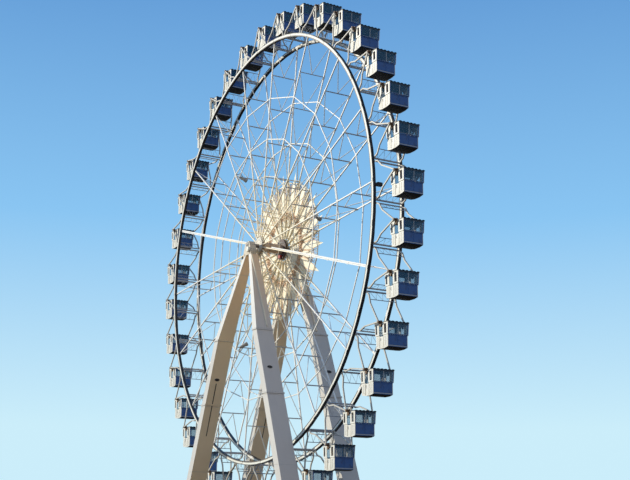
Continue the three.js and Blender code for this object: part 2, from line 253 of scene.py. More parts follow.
class Work:
    """Closed bodies gathered into the mesh of one piece, in its main finish where no other is given."""

    def __init__(self, main):
        self.main = main
        self.corners = []
        self.faces = []
        self.finishes = []

    def loft(self, rings, paint=None, closed=False):
        """A body through rings of corners, with flat ends unless the rings close on themselves."""
        first = len(self.corners)
        count = len(rings[0])
        for ring in rings:
            self.corners.extend(tuple(p) for p in ring)
        made = []
        for i in range(len(rings) if closed else len(rings) - 1):
            a = first + i * count
            b = first + (i + 1) % len(rings) * count
            made += [(a + j, a + (j + 1) % count, b + (j + 1) % count, b + j) for j in range(count)]
        if not closed:
            made += [tuple(range(first, first + count))[::-1], tuple(range(a + count, a + 2 * count))]
        self.faces += made
        self.finishes += [paint or self.main] * len(made)

    def slab(self, outline, rise, paint=None):
        """A flat outline made thick by the vector rise."""
        self.loft([outline, [Vector(p) + Vector(rise) for p in outline]], paint)

    def bar(self, start, end, wide, tall, side, paint=None):
        """A flat or square bar between two points. side is the direction of its width."""
        start, end = Vector(start), Vector(end)
        run = (end - start).normalized()
        across = (Vector(side) - run * run.dot(Vector(side))).normalized()
        up = run.cross(across)
        shares = ((1, 1), (-1, 1), (-1, -1), (1, -1))
        spots = [across * (a * wide / 2) + up * (b * tall / 2) for a, b in shares]
        self.loft([[start + s for s in spots], [end + s for s in spots]], paint)

    def tube(self, points, radius, sides=8, paint=None, closed=False):
        """A round bar along points, mitred where it bends."""
        points = [Vector(p) for p in points]
        count = len(points)
        runs = []
        for i in range(count):
            after = points[(i + 1) % count] if closed or i + 1 < count else points[i]
            before = points[i - 1] if closed or i else points[i]
            runs.append((after - before).normalized())
        across = runs[0].orthogonal().normalized()
        rings = []
        for point, run in zip(points, runs):
            across = (across - run * run.dot(across)).normalized()
            rings.append(circle(point, across, run.cross(across), radius, sides))
        self.loft(rings, paint, closed)

    def turned(self, base, run, profile, sides=16, paint=None):
        """A body of revolution: the profile gives distances along run from base, and radii."""
        base, run = Vector(base), Vector(run).normalized()
        across = run.orthogonal().normalized()
        up = run.cross(across)
        self.loft([circle(base + run * far, across, up, radius, sides) for far, radius in profile], paint)

    def bolt(self, base, run, size, paint=galvanised_steel):
        """A hexagon head of that radius on its washer."""
        self.turned(base, run, [(0, size * 1.35), (size * 0.25, size * 1.35)], 8, paint)
        self.turned(base, run, [(size * 0.2, size), (size, size), (size * 1.1, size * 0.8)], 6, paint)

    def mesh(self, name):
        made = bpy.data.meshes.new(name)
        made.from_pydata(self.corners, [], self.faces)
        numbers = {paint: number for number, paint in enumerate(dict.fromkeys(self.finishes))}
        made.polygons.foreach_set("material_index", [numbers[paint] for paint in self.finishes])
        shape = bmesh.new()
        shape.from_mesh(made)
        bmesh.ops.recalc_face_normals(shape, faces=shape.faces)
        shape.to_mesh(made)
        shape.free()
        made.polygons.foreach_set("use_smooth", [True] * len(made.polygons))
        made.set_sharp_from_angle(angle=math.radians(CREASE))
        for paint in numbers:
            made.materials.append(paint)
        return made

    def piece(self, name, body):
        made = placed(name, self.mesh(name))
        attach(made, body)
        return made


def repaint(node, paint):
    """Gives a CAD node a new finish."""
    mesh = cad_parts[node].data
    mesh.materials.clear()
    mesh.materials.append(paint)


ROWS = (("front", -1), ("back", 1))
HANDS = (("left", -1), ("right", 1))
# level, then the middle and half size along X, and the same along Y
LEG_SECTIONS = (
    (0, 5.65, 0.235, 1.485, 0.43),
    (9.0, 2.01, 0.205, 1.42, 0.40),
    (12.85, 0.265, 0.112, 1.092, 0.19),
)
COLLAR_LEVELS = (9.0, 6.07)
COLLAR_HALF = 0.03
COLLAR_BOLT = 0.011
COLLAR_BOLTS_X = 7
COLLAR_BOLTS_Y = 11
COLLAR_BOLT_LIP = 0.0135
COLLAR_BOLT_REACH = 0.94
FOOT_TOP = 0.08
ANCHORS = 5
ANCHOR_BOLT = 0.032
ANCHOR_X = 0.35
ANCHOR_Y = 0.52
GUSSET_REACH = 0.40
GUSSET_Y = 0.4
GUSSET_SHEET = 0.02
GUSSET_LOW = 0.12
GUSSET_HIGH = 0.42
PORT_LEVEL = 7.22
PORT_HALF = (0.13, 0.07)
PORT_SIDES = 16
SLOT_TOP = 7.05
SLOT_LENGTH = 2.6
SLOT_SIZE = (0.045, 0.04)
OPENING_SHIFT = 0.06
CONDUIT_Y = 1.28
CONDUIT_LEVELS = (12.8, 9.15)
CONDUIT_SIZE = (0.05, 0.09)
CONDUIT_OUT = 0.035


def leg_at(level):
    """The middle and half sizes of a leg's section at a level."""
    low, high = LEG_SECTIONS[:2] if level <= LEG_SECTIONS[1][0] else LEG_SECTIONS[1:]
    share = (level - low[0]) / (high[0] - low[0])
    return [a + (b - a) * share for a, b in zip(low[1:], high[1:])]


def leg_face(side_x, side_y, face, level):
    """A point on a leg's left or right face, on the line of its openings."""
    x, half_x, y, _ = leg_at(level)
    return Vector((side_x * x + face * half_x, side_y * (y + OPENING_SHIFT), level))


for row, side_y in ROWS:
    for hand, side_x in HANDS:
        node = f"{row}_{hand}_leg"
        repaint(node, leg_paint)
        work = Work(leg_paint)
        for level in COLLAR_LEVELS:
            x, half_x, y, half_y = leg_at(level)
            bolt_x, bolt_y = half_x + COLLAR_BOLT_LIP, half_y + COLLAR_BOLT_LIP
            spots = [(share * half_x, end * bolt_y) for share in spread(COLLAR_BOLTS_X) for end in (-1, 1)]
            for share in spread(COLLAR_BOLTS_Y, COLLAR_BOLT_REACH):
                spots += [(end * bolt_x, share * half_y) for end in (-1, 1)]
            for up in (-1, 1):
                for a, b in spots:
                    spot = (side_x * x + a, side_y * y + b, level + up * COLLAR_HALF)
                    work.bolt(spot, (0, 0, up), COLLAR_BOLT)
        x, half_x, y, half_y = leg_at(0)
        for share in spread(ANCHORS):
            for end in (-1, 1):
                spot = (side_x * x + end * ANCHOR_X, side_y * y + share * ANCHOR_Y, FOOT_TOP)
                work.bolt(spot, (0, 0, 1), ANCHOR_BOLT)
                root = side_x * x + end * (half_x - 0.01)
                tip = side_x * x + end * GUSSET_REACH
                rib_y = side_y * y + share * GUSSET_Y - GUSSET_SHEET / 2
                outline = [(root, FOOT_TOP), (tip, FOOT_TOP), (tip, GUSSET_LOW), (root, GUSSET_HIGH)]
                work.slab([(a, rib_y, b) for a, b in outline], (0, GUSSET_SHEET, 0))
        lean = math.atan2(LEG_SECTIONS[0][1] - LEG_SECTIONS[1][1], LEG_SECTIONS[1][0])
        up_leg = Vector((-side_x * math.sin(lean), 0, math.cos(lean)))
        for face in (-1, 1):
            out = Vector((face * math.cos(lean), 0, face * side_x * math.sin(lean)))
            middle = leg_face(side_x, side_y, face, PORT_LEVEL) - out * 0.02
            # Each port's inner oval is a near-black sheet: painted shade inside the opening.
            for scale, lift, paint in ((1.2, 0.01, leg_paint), (1.0, 0.013, near_black_and_hole_shade)):
                wide, tall = Vector((0, PORT_HALF[0] * scale, 0)), up_leg * (PORT_HALF[1] * scale)
                oval = [middle + wide * math.cos(t) + tall * math.sin(t) for t in ring_turns(PORT_SIDES)]
                work.slab(oval, out * (0.02 + lift), paint)
            if face == -side_x:
                start = leg_face(side_x, side_y, face, SLOT_TOP) - out * 0.012
                # The slot is a near-black bar on the face: painted shade inside the opening.
                work.bar(start, start - up_leg * SLOT_LENGTH, *SLOT_SIZE, (0, 1, 0), near_black_and_hole_shade)
        run = []
        for level in CONDUIT_LEVELS:
            x, half_x, _, _ = leg_at(level)
            run.append((side_x * (x + half_x + CONDUIT_OUT), side_y * CONDUIT_Y, level))
        work.bar(*run, *CONDUIT_SIZE, (0, 1, 0), conduit_cream)
        work.piece(f"{node}_fittings", "frame")


# Heads
# A welded housing on top of each pair of legs, painted grey brown, that holds one end of the axle in bolted
# bearing rings. A pin with a white cap stands out of both its faces under the axle, and a gold cable bracket
# with a dark pulley is bolted to the left leg's top.
HUB_HEIGHT = 13.35
HEAD_OUTER_Y = 1.29
HEAD_INNER_Y = 0.98
BEARING_RING = ((-0.005, 0.104), (-0.005, 0.145), (0.016, 0.145), (0.022, 0.138), (0.022, 0.104))
RING_BOLTS = 8
RING_BOLT_CIRCLE = 0.123
# places on the head's faces, from the axle's line
OUTER_CAP = (0.19, 0, -0.265)
INNER_PIN = (0.10, 0, -0.245)
CAP_DOME = ((-0.01, 0.1196), (0, 0.13), (0.085, 0.13), (0.1, 0.1144), (0.106, 0.065), (0.108, 0.013))
PIN_SHAFT = ((-0.01, 0.07), (0.18, 0.07))
PIN_DISC = ((0.175, 0.1081), (0.18, 0.115), (0.215, 0.115), (0.22, 0.1035))
SIDE_BOLTS_Y = (1.03, 1.135, 1.24)
SIDE_BOLTS_Z = (-0.46, -0.37)
SHOULDER_BOLTS_Y = (1.04, 1.135, 1.23)
SHOULDER = ((0.385, -0.33), (0.215, 0.06))
BRACKET = ((-0.43, 12.80), (-0.33, 12.80), (-0.24, 12.95), (-0.33, 12.95))
BRACKET_Y = (1.17, 1.30)
BRACKET_ARM = ((-0.36, 12.87), (-0.46, 12.80))
BRACKET_ARM_Y = 1.24
PULLEY = ((0, 0.07), (0.01, 0.09), (0.10, 0.09), (0.11, 0.07))


def from_axle(turn, distance):
    """A step away from the axle's line, in a direction given by its turn from straight up."""
    return Vector((distance * math.sin(turn), 0, distance * math.cos(turn)))


@finish
def head_paint():
    wear = blotches(2.2, 6, 0.4, 0.7)
    streaks = blotches(5, 5, 0.5, 0.75, stretched(1.5, 1.5, 0.2))
    return {
        "Base Color": mixed(wear * 0.4 + streaks * 0.4, (0.74, 0.63, 0.48), (0.44, 0.36, 0.26)),
        "Roughness": 0.45 + wear * 0.2,
        "height": (wear, 0.003),
    }


@finish
def cap_white():
    stains = blotches(6, 5, 0.4, 0.8)
    return {
        "Base Color": mixed(stains, (0.96, 0.92, 0.80), (0.84, 0.78, 0.64)),
        "Roughness": 0.3 + noise(9) * 0.15,
    }


bracket_gold = two_tone("bracket_gold", 8, (0.88, 0.66, 0.40), (0.66, 0.44, 0.22), 0.45)
for row, side_y in ROWS:
    repaint(f"{row}_head", head_paint)
    work = Work(head_paint)
    out = Vector((0, side_y, 0))
    for face_y, way in ((HEAD_OUTER_Y, 1), (HEAD_INNER_Y, -1)):
        face = Vector((0, side_y * face_y, HUB_HEIGHT))
        run = out * way
        rings = []
        for t in ring_turns(32):
            rings.append([face + run * far + from_axle(t, radius) for far, radius in BEARING_RING])
        work.loft(rings, galvanised_steel, closed=True)
        for t in ring_turns(RING_BOLTS):
            work.bolt(face + run * 0.02 + from_axle(t, RING_BOLT_CIRCLE), run, 0.01)
        if way == 1:
            work.turned(face + Vector(OUTER_CAP), run, CAP_DOME, 28, cap_white)
        else:
            work.turned(face + Vector(INNER_PIN), run, PIN_SHAFT, 20)
            work.turned(face + Vector(INNER_PIN), run, PIN_DISC, 24, cap_white)
    for side_x in (-1, 1):
        for z in SIDE_BOLTS_Z:
            for y in SIDE_BOLTS_Y:
                spot = (side_x * SHOULDER[0][0], side_y * y, HUB_HEIGHT + z)
                work.bolt(spot, (side_x, 0, 0), 0.018)
        low, high = (Vector((side_x * x, 0, HUB_HEIGHT + z)) for x, z in SHOULDER)
        slope = Vector((side_x * 0.39, 0, 0.17)).normalized()
        for share in (0.2, 0.8):
            for y in SHOULDER_BOLTS_Y:
                work.bolt(low.lerp(high, share) + Vector((0, side_y * y, 0)), slope, 0.016)
    y0, y1 = sorted(side_y * y for y in BRACKET_Y)
    work.slab([(x, y0, z) for x, z in BRACKET], (0, y1 - y0, 0), bracket_gold)
    arm = [(x, side_y * BRACKET_ARM_Y, z) for x, z in BRACKET_ARM]
    work.bar(*arm, 0.05, 0.03, (0, 0, 1), bracket_gold)
    work.turned((-0.47, side_y * 1.20, 12.80), out, PULLEY, 16, near_black_and_hole_shade)
    work.piece(f"{row}_head_covers", "frame")


# Axle
# A turned steel shaft that stays still in the two heads while the wheel turns on it. A round retaining plate
# is bolted to each end.
AXLE_END = 1.31
AXLE_PLATE = ((-0.004, 0.08), (0.0, 0.088), (0.014, 0.088), (0.018, 0.08), (0.018, 0.03))
PLATE_BOLT_CIRCLE = 0.055


@finish
def axle_steel():
    rings = noise(14, 3, stretched(0.4, 6.0, 0.4))
    return {
        "Base Color": mixed(rings, (0.16, 0.13, 0.11), (0.30, 0.26, 0.23)),
        "Roughness": 0.36 + rings * 0.25,
        "Metallic": 0.5,
        "height": (rings, 0.001),
    }


repaint("axle", axle_steel)
for row, side_y in ROWS:
    work = Work(axle_steel)
    work.turned((0, side_y * AXLE_END, HUB_HEIGHT), (0, side_y, 0), AXLE_PLATE, 24)
    for t in ring_turns(4):
        x, z = PLATE_BOLT_CIRCLE * math.sin(t), PLATE_BOLT_CIRCLE * math.cos(t)
        work.bolt((x, side_y * (AXLE_END + 0.016), HUB_HEIGHT + z), (0, side_y, 0), 0.011, axle_steel)
    work.piece(f"{row}_axle_plate", "frame")


# Hub drum
# The thick tube that turns on the axle. Eighteen pairs of lugs are bolted to each cream flange, and a dark
# red brake disc with a red junction box sits beside the back one.
SPOKES = 18
PITCH = 360 / SPOKES
FIRST_ANGLE = 6.6
HALF_GAUGE = 0.68
CHORD_Y = 0.638
FLANGE_HALF = 0.075
DRUM_RADIUS = 0.225
DISC_Y = 0.52
# radius and distance along the rim of a lug's corners
LUG = ((0.31, -0.05), (0.31, 0.05), (0.49, 0.036), (0.52, 0.0), (0.49, -0.036))
LUG_GAP = 0.030
LUG_SHEET = 0.012
LUG_BOLT_CIRCLE = 0.46
FLANGE_BOLT_CIRCLE = 0.31
HUB_BOLT = 0.018
DRUM_COLLARS = (-0.45, -0.15, 0.15)
LID_HALF = ((-0.07, -0.44), (-0.085, -0.42), (-0.085, -0.30), (-0.07, -0.28))
LID_MIDDLE = -0.36
BOX_FRONT = 0.40


def axle_distance():
    """How far a place is from the line through the middle of the axle."""
    x, z = along("X"), along("Z") - HUB_HEIGHT
    return maths("SQRT")(x * x + z * z)


@finish
def drum_paint():
    grime = blotches(3.5, 6, 0.4, 0.68)
    in_flange = abs(along("Y")) > 0.56
    # The flanges' edges are painted dark brown: painted shade.
    rim = in_flange * (abs(facing("Y")) < 0.5)
    in_disc = (abs(along("Y") - DISC_Y) < 0.027) * (axle_distance() > DRUM_RADIUS + 0.004)
    drum = mixed(grime * 0.7, (0.60, 0.46, 0.34), (0.32, 0.22, 0.15))
    flange = mixed(grime * 0.6, (0.90, 0.84, 0.70), (0.60, 0.48, 0.34))
    flange = mixed(rim * 0.8, flange, (0.28, 0.18, 0.10))
    disc = mixed(grime, (0.075, 0.028, 0.020), (0.04, 0.018, 0.014))
    return {
        "Base Color": mixed(in_disc, mixed(in_flange, drum, flange), disc),
        "Roughness": 0.4 + grime * 0.25,
        "height": (grime, 0.002),
    }


def on_wheel(angle, radius, y, offset=0.0):
    """A point on the wheel, by its angle from the top. offset is along the rim, towards growing angles."""
    a = math.radians(angle)
    x = radius * math.sin(a) + offset * math.cos(a)
    return Vector((x, y, HUB_HEIGHT + radius * math.cos(a) - offset * math.sin(a)))


def mirrored(half):
    """An outline made whole from one half of it."""
    return [*half, *((-x, z) for x, z in reversed(half))]


def outward(angle):
    return on_wheel(angle, 1, 0) - on_wheel(angle, 0, 0)


def onward(angle):
    return on_wheel(angle + 90, 1, 0) - on_wheel(angle, 0, 0)


box_red = two_tone("box_red", 7, (0.52, 0.05, 0.04), (0.30, 0.04, 0.03), 0.45)
repaint("hub_drum", drum_paint)
work = Work(drum_paint)
for side_y in (-1, 1):
    for k in range(SPOKES):
        angle = FIRST_ANGLE + k * PITCH
        for face in (-1, 1):
            y = side_y * CHORD_Y + face * LUG_GAP
            outline = [on_wheel(angle, radius, y, offset) for radius, offset in LUG]
            work.slab(outline, (0, face * LUG_SHEET, 0))
            spot = on_wheel(angle, LUG_BOLT_CIRCLE, y + face * 0.011)
            work.bolt(spot, (0, face, 0), HUB_BOLT)
        for face in (-1, 1):
            spot = on_wheel(angle + PITCH / 2, FLANGE_BOLT_CIRCLE, side_y * CHORD_Y + face * FLANGE_HALF)
            work.bolt(spot, (0, face, 0), HUB_BOLT)
for y in DRUM_COLLARS:
    inner, outer = DRUM_RADIUS - 0.01, DRUM_RADIUS + 0.025
    section = ((y - 0.02, inner), (y - 0.02, outer), (y + 0.02, outer), (y + 0.02, inner))
    turns = [math.degrees(t) for t in ring_turns(36)]
    work.loft([[on_wheel(turn, radius, far) for far, radius in section] for turn in turns], closed=True)
for t in ring_turns(12):
    work.bolt(on_wheel(math.degrees(t), 0.33, DISC_Y - 0.025), (0, -1, 0), 0.016)
lid = mirrored(LID_HALF)
work.slab([(x, BOX_FRONT + 0.01, HUB_HEIGHT + z) for x, z in lid], (0, 0.09, 0), box_red)
lid = [(x * 1.1, LID_MIDDLE + (z - LID_MIDDLE) * 1.1) for x, z in lid]
work.slab([(x, BOX_FRONT, HUB_HEIGHT + z) for x, z in lid], (0, 0.012, 0), box_red)
for x in (-0.07, 0.07):
    for z in (-0.42, -0.30):
        work.bolt((x, BOX_FRONT, HUB_HEIGHT + z), (0, -1, 0), 0.008)
work.piece("hub_fittings", "wheel")


# Star panel
# A rosette bolted to the back of the back chords: pointed rays of painted sheet round the hub, with rings,
# rods, zigzags and curls of thin bar between them.
@finish
def ray_paint():
    fade = blotches(1.6, 5, 0.35, 0.7)
    return {
        "Base Color": mixed(fade * 0.6, (1.0, 0.94, 0.75), (1.0, 0.84, 0.58)),
        "Roughness": 0.4 + fade * 0.2,
        "height": (noise(40), 0.001),
    }


@finish
def lattice_paint():
    fade = blotches(4.0, 5, 0.35, 0.7)
    return {
        "Base Color": mixed(fade, (1.0, 0.93, 0.76), (0.96, 0.83, 0.60)),
        "Roughness": 0.42 + fade * 0.2,
    }


# Brown for the curls and lattice, also used as painted shade round the rays.
brown_curls_and_gap_shade = two_tone("brown_curls_and_gap_shade", 6, (0.88, 0.62, 0.40), (0.58, 0.37, 0.21), 0.5)
STAR_Y = 0.668
STAR_EDGE = 3.28
CURLS = 4
CURL_CIRCLE = 1.65
CURL_RADIUS = 0.07
# The brown rows lie a little wider behind the cream rays, so each ray gets a brown outline: painted shade
# between the rays.
# turn in pitches, root, widest place and tip by radius, half width, distance behind STAR_Y, finish
OUTER_RAYS = (
    (0.5, 1.78, 2.55, 3.77, 0.190, 0.016, ray_paint),
    (0.5, 1.74, 2.55, 3.71, 0.235, 0.026, brown_curls_and_gap_shade),
    (0, 1.78, 2.35, 3.28, 0.145, 0.036, ray_paint),
    (0, 1.74, 2.35, 3.22, 0.185, 0.046, brown_curls_and_gap_shade),
)
# Here too each brown row outlines the ray in front of it: painted shade.
INNER_RAYS = (
    (0, 0.58, 1.15, 1.56, 0.064, 0.018, ray_paint),
    (0, 0.60, 1.15, 1.54, 0.090, 0.030, brown_curls_and_gap_shade),
    (0.25, 0.62, 1.25, 1.56, 0.048, 0.026, ray_paint),
    (0.17, 1.78, 2.2, 2.95, 0.042, 0.056, ray_paint),
    (0.25, 1.78, 2.2, 3.15, 0.042, 0.056, ray_paint),
    (0.33, 1.78, 2.2, 2.95, 0.042, 0.056, ray_paint),
)
ROD_TURNS = (0.125, 0.375)
# bars to a pitch, inner and outer radius, width, distance behind STAR_Y, finish
ZIGZAGS = (
    (5, 1.05, 1.50, 0.026, 0.045, lattice_paint),
    (7, 1.50, 1.80, 0.048, 0.04, brown_curls_and_gap_shade),
    (6, 1.80, 2.15, 0.03, 0.05, lattice_paint),
    (6, 2.15, 2.5, 0.03, 0.05, lattice_paint),
    (7, 2.5, 2.86, 0.024, 0.05, brown_curls_and_gap_shade),
    (8, 2.86, STAR_EDGE * 0.985, 0.02, 0.05, brown_curls_and_gap_shade),
)
# radius, distance behind STAR_Y, half width, thickness, finish
HOOPS = (
    (0.60, 0.012, 0.045, 0.03, ray_paint),
    (1.05, 0.022, 0.02, 0.02, lattice_paint),
    (1.50, 0.006, 0.022, 0.02, brown_curls_and_gap_shade),
    (1.80, 0.006, 0.022, 0.02, brown_curls_and_gap_shade),
    (2.50, 0.040, 0.018, 0.02, lattice_paint),
    (2.86, 0.040, 0.018, 0.02, brown_curls_and_gap_shade),
)
work = Work(ray_paint)


def ray(angle, start, widest, tip, half_width, depth, paint):
    """A leaf-shaped ray with a raised middle line."""
    y = STAR_Y + depth
    spots = [(start, 0.6), (widest * 0.6 + start * 0.4, 0.92), (widest, 1.0)]
    spots += [(widest * 0.6 + tip * 0.4, 0.74), (widest * 0.28 + tip * 0.72, 0.36), (tip, 0.03)]
    rings = []
    for radius, share in spots:
        wide = half_width * share
        ring = ((y, -wide), (y - 0.004 - 0.004 * share, 0), (y, wide), (y + 0.008, 0))
        rings.append([on_wheel(angle, radius, far, offset) for far, offset in ring])
    work.loft(rings, paint)


def hoop(radius, depth, wide, thick, paint, phase=0.0, sides=36):
    """A flat many-sided ring round the hub."""
    y = STAR_Y + depth
    section = ((-wide, 0), (wide, 0), (wide, thick), (-wide, thick))
    turns = [phase + 360 * k / sides for k in range(sides)]
    rings = [[on_wheel(turn, radius + a, y + b) for a, b in section] for turn in turns]
    work.loft(rings, paint, closed=True)


def zigzag(start_angle, count, low, high, wide, depth, paint):
    """A pitch of thin bars that go to and fro between two radii."""
    for i in range(count):
        turns = [start_angle + (i + part) * PITCH / count for part in (0, 0.5, 1)]
        spots = [on_wheel(turn, radius, STAR_Y + depth) for turn, radius in zip(turns, (low, high, low))]
        for start, end in zip(spots, spots[1:]):
            work.bar(start, end, wide, 0.012, (0, 1, 0), paint)


for k in range(SPOKES):
    angle = FIRST_ANGLE + k * PITCH
    for turn, *shape in OUTER_RAYS:
        ray(angle + turn * PITCH, *shape)
    for part in (0, 0.5):
        for turn, *shape in INNER_RAYS:
            ray(angle + (part + turn) * PITCH, *shape)
        for turn in ROD_TURNS:
            rod_angle = angle + (part + turn) * PITCH
            rod = [on_wheel(rod_angle, radius, STAR_Y + 0.034) for radius in (0.56, 1.5)]
            work.bar(*rod, 0.03, 0.014, onward(rod_angle), lattice_paint)
    for shape in ZIGZAGS:
        zigzag(angle, *shape)
    for i in range(CURLS):
        centre = on_wheel(angle + (i + 0.5) * PITCH / CURLS, CURL_CIRCLE, STAR_Y + 0.016)
        loop = circle(centre, Vector((1, 0, 0)), Vector((0, 0, 1)), CURL_RADIUS, 9)
        work.tube(loop, 0.03, 5, brown_curls_and_gap_shade, closed=True)
for shape in HOOPS:
    hoop(*shape)
hoop(STAR_EDGE, 0.036, 0.024, 0.03, ray_paint, FIRST_ANGLE, SPOKES)
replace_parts(work.piece("star_rosette", "wheel"), "star_panel")


# Rims
# Two rings of welded box section, cream on their faces and nearly black inside and outside, with bolted
# splice plates. A dark box is fixed behind the front rim. Three floodlights hang on the front chords, which
# also carry short golden conduits and, where they lie nearly level, a white cable trunking.
RIM_RADIUS = 10.1
RIM_HALF_DEPTH = 0.08
RIM_HALF_WIDTH = 0.065
SECTIONS = 6
PLATE_EDGE = 0.012
PLATE_SHEET = 0.008
PLATE_HALF = 0.13
GUSSET_DEPTH = 0.13
GUSSET_TIP = 0.04
PLATE_BOLT = 0.009
RIM_BOX = (87.6, 10.2)
RIM_BOX_RINGS = ((-0.60, 0.9), (-0.585, 1.0), (-0.365, 1.0), (-0.35, 0.9))
LAMP_ANGLES = (86.6, 206.6, 326.6)
LAMP_RADIUS = 5.05
LAMP_Y = -0.43
LAMP_HOUSING = ((0.0, 0.05), (0.03, 0.07), (0.22, 0.075), (0.30, 0.095), (0.38, 0.105), (0.39, 0.095))
LAMP_GLASS = ((0, 0.09), (0.01, 0.09), (0.02, 0.06))
BRIDGE_OUT = 0.18
BRACKET_HALF = 0.10
BRACKET_BAR = (0.012, 0.04)
LAMP_CONDUIT = (4.32, 5.18)
LAMP_CONDUIT_Y = -0.604
TRUNKING_ANGLES = ((106.6, -1), (286.6, 1))
TRUNKING = (0.055, 0.06)
TRUNKING_SIDE = 0.064
TRUNKING_ENDS = (1.3, 9.98)


def painted_golden_light_near_hub(cream):
    """Cream that goes over to a golden tone near the hub: painted golden light."""
    return mixed(ramp(axle_distance() * 0.1, (0.3, 0.8), (0.6, 0)), cream, (1.0, 0.86, 0.58))


@finish
def wheel_paint():
    wear = blotches(1.8, 6, 0.4, 0.72)
    radius = axle_distance()
    across = abs(along("Y"))
    in_rim = (radius > RIM_RADIUS - 0.084) * (radius < RIM_RADIUS + 0.1) * (across > 0.61)
    black_side = in_rim * (abs(facing("Y")) < 0.5)
    black_edge = in_rim * (radius > RIM_RADIUS + 0.055)
    # The inner strip of each rim's cream face is painted dark brown: painted shade.
    painted_shade_edge = in_rim * (radius < RIM_RADIUS - 0.03)
    # Bars that run across between the front and back of the wheel are painted dark grey: painted shade.
    painted_shade_cross_bar = (across < 0.586) * (radius < RIM_RADIUS + 0.1)
    cream = painted_golden_light_near_hub(mixed(wear * 0.25, (0.97, 0.95, 0.90), (0.80, 0.72, 0.60)))
    cream = mixed(painted_shade_cross_bar * 0.8, cream, (0.40, 0.40, 0.41))
    # The fork arms beyond the rims are painted greyer: painted shade.
    cream = mixed((radius > RIM_RADIUS + 0.11) * 0.8, cream, (0.49, 0.45, 0.375))
    cream = mixed(in_rim * 0.7, cream, (0.88, 0.86, 0.73))
    black = mixed(wear, (0.012, 0.014, 0.020), (0.026, 0.029, 0.036))
    dark = maths("MAXIMUM")(black_side, black_edge)
    return {
        "Base Color": mixed(dark, mixed(painted_shade_edge, cream, (0.13, 0.10, 0.08)), black),
        "Roughness": 0.36 + wear * 0.18,
        "height": (noise(30) * 0.3 + wear, 0.002),
    }


for i in range(1, SECTIONS + 1):
    for kind in ("rim_section", "spoke_group"):
        repaint(f"{kind}_{i}", wheel_paint)

work = Work(wheel_paint)
for side_y in (-1, 1):
    for k in range(2 * SPOKES):
        angle = FIRST_ANGLE + k * PITCH / 2
        at_spoke = k % 2 == 0
        for face in (-1, 1):
            gusset = at_spoke and face == -side_y
            y = side_y * HALF_GAUGE + face * RIM_HALF_WIDTH
            half = RIM_HALF_DEPTH if at_spoke else PLATE_HALF
            top = RIM_HALF_DEPTH - PLATE_EDGE
            low = -top - (GUSSET_DEPTH if gusset else 0)
            tip = GUSSET_TIP if gusset else half
            outline = ((top, -half), (top, half), (low, tip), (low, -tip))
            plate = [on_wheel(angle, RIM_RADIUS + a, y, b) for a, b in outline]
            work.slab(plate, (0, face * PLATE_SHEET, 0))
            for a in (0.045, -0.045):
                for share in (-0.72, -0.24, 0.24, 0.72):
                    spot = on_wheel(angle, RIM_RADIUS + a, y + face * 0.007, share * half * 0.9)
                    work.bolt(spot, (0, face, 0), PLATE_BOLT)
work.piece("rim_plates", "wheel")

conduit_gold = two_tone("conduit_gold", 8, (0.85, 0.66, 0.34), (0.62, 0.42, 0.18), 0.4)
lamp_grey = two_tone("lamp_grey", 8, (0.56, 0.53, 0.48), (0.30, 0.28, 0.25), 0.45)
trunking_white = two_tone("trunking_white", 2, (1.0, 0.98, 0.94), (0.93, 0.90, 0.84), 0.4)
work = Work(galvanised_steel)
angle, radius = RIM_BOX
rings = []
for y, share in RIM_BOX_RINGS:
    spots = ((-0.08, -0.07), (0.08, -0.07), (0.08, 0.07), (-0.08, 0.07))
    rings.append([on_wheel(angle, radius + a * share, y, b * share) for a, b in spots])
work.loft(rings, near_black_and_hole_shade)
work.bar(*(on_wheel(angle, radius - 0.05, y) for y in (-0.64, -0.59)), 0.08, 0.06, onward(angle))
for angle in LAMP_ANGLES:
    side_way = onward(angle)
    aim = (Vector((0, 0.8, 0)) - outward(angle) * 0.55).normalized()
    base = on_wheel(angle, LAMP_RADIUS, LAMP_Y)
    work.turned(base, aim, LAMP_HOUSING, 16, lamp_grey)
    work.turned(base + aim * 0.385, aim, LAMP_GLASS, 16, near_black_and_hole_shade)
    bridge_radius = LAMP_RADIUS + BRIDGE_OUT
    for side in (-1, 1):
        ear = base + aim * 0.13 + side_way * (side * BRACKET_HALF)
        work.bar(on_wheel(angle, bridge_radius, LAMP_Y, side * BRACKET_HALF), ear, *BRACKET_BAR, side_way)
    bridge = [on_wheel(angle, bridge_radius, LAMP_Y, side * 0.105) for side in (-1, 1)]
    work.bar(*bridge, *BRACKET_BAR, (0, 1, 0))
    stem = [on_wheel(angle, bridge_radius, y) for y in (-0.62, LAMP_Y + 0.01)]
    work.bar(*stem, 0.03, 0.03, side_way)
    conduit = [on_wheel(angle, radius, LAMP_CONDUIT_Y) for radius in LAMP_CONDUIT]
    work.bar(*conduit, 0.05, 0.02, side_way, conduit_gold)
for angle, way in TRUNKING_ANGLES:
    run = [on_wheel(angle, radius, -CHORD_Y, way * TRUNKING_SIDE) for radius in TRUNKING_ENDS]
    work.bar(*run, *TRUNKING, onward(angle), trunking_white)
work.piece("wheel_floodlights", "wheel")


# Spoke bracing
# Each spoke's front and back chords are tied by cross bars, with a V of thin tube in each bay between them.
# Two inner rings of ties brace the front chords round the star, and one the back chords.
BARS = (5 / 6, 4 / 6, 3 / 6, 2 / 6)
BRACE = 0.018
BRACE_SIDES = 7
INNER_END = RIM_RADIUS / 6
INNER_TIES = ((-1, 0.337), (1, 0.337), (-1, 0.205))
TIE_STATIONS = (0.717, 0.517)
CHORD_PLATE = ((-0.07, -0.04), (-0.07, 0.04), (0.07, 0.04), (0.07, -0.04))
CHORD_FACE = 0.025


@finish
def brace_paint():
    wear = blotches(2.4, 5, 0.4, 0.7)
    return {
        "Base Color": painted_golden_light_near_hub(mixed(wear * 0.5, (0.97, 0.96, 0.92), (0.80, 0.77, 0.71))),
        "Roughness": 0.42 + wear * 0.18,
    }


